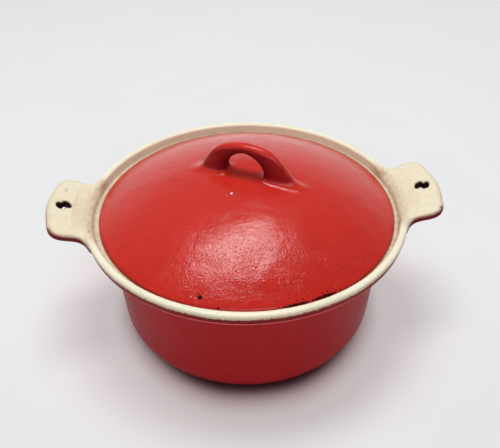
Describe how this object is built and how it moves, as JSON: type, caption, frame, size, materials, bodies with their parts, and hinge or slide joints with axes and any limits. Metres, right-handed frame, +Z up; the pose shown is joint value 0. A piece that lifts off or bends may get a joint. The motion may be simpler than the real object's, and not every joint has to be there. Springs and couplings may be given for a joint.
{
  "type": "lidded casserole",
  "caption": "Round enamelled cast iron casserole with two pierced side lugs and a domed lift-off lid with a cast loop handle.",
  "frame": {"origin": "centre of the flat base, on the surface the pot stands on", "axes": "+Z up; the two lugs lie along +X and -X; -Y is the side seen in front"},
  "size_m": [0.2672, 0.218, 0.1365],
  "materials": {
    "pot_iron": "cast, ground flat under the base",
    "pot_red_enamel": "satin fused enamel, dark red",
    "pot_cream_enamel": "gloss fused enamel, cream",
    "lid_iron": "cast",
    "lid_red_enamel": "satin fused enamel with orange peel, red",
    "lid_cream_enamel": "gloss fused enamel, cream"
  },
  "bodies": {
    "pot": {"pot_casting": "pot_iron", "pot_outer_enamel": "pot_red_enamel", "pot_inner_enamel": "pot_cream_enamel"},
    "lid": {"lid_casting": "lid_iron", "lid_outer_enamel": "lid_red_enamel", "lid_inner_enamel": "lid_cream_enamel"}
  },
  "joints": [
    {"name": "lid_lift", "type": "slide", "parent": "pot", "child": "lid", "axis": [0, 0, 1], "range_m": [0, 0.12]}
  ]
}
